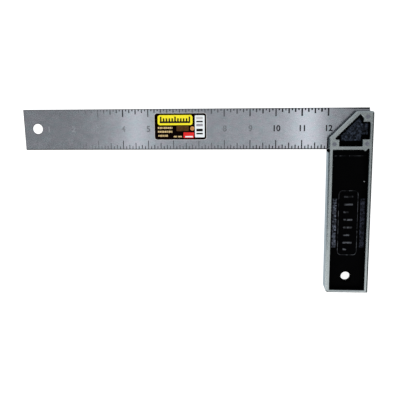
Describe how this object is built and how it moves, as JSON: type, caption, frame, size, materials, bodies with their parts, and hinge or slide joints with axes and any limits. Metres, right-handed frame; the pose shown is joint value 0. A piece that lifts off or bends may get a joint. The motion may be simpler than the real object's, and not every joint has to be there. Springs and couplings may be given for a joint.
{
  "type": "try square",
  "caption": "Carpenter's try square: a graduated steel blade riveted at right angles into a die-cast stock with black inlaid grip pockets and a 45 degree shoulder.",
  "frame": {"origin": "under the middle of the whole tool: the middle of its box in X and Y, on the surface that the back face lies on", "axes": "+X along the blade towards the stock, +Y from the stock's foot towards the blade, +Z through the thickness, with the labelled front face upwards"},
  "size_m": [0.3472, 0.185, 0.018],
  "materials": {
    "stock_metal": "die cast, ground bright on the outer faces, satin in the bevels",
    "blade_steel": "ground lengthwise, satin",
    "rivet_steel": "headed ends ground flush, slightly darker than the stock",
    "inlay_plastic": "black moulding, satin floor with stippled gripping areas",
    "label_film": "printed gloss film, black with coloured panels"
  },
  "bodies": {
    "root": {"stock_body": "stock_metal", "blade": "blade_steel", "rivet_upper": "rivet_steel", "rivet_lower_inner": "rivet_steel", "rivet_lower_outer": "rivet_steel", "front_grip_inlay": "inlay_plastic", "back_grip_inlay": "inlay_plastic", "front_head_inlay": "inlay_plastic", "back_head_inlay": "inlay_plastic", "label": "label_film"}
  },
  "joints": []
}
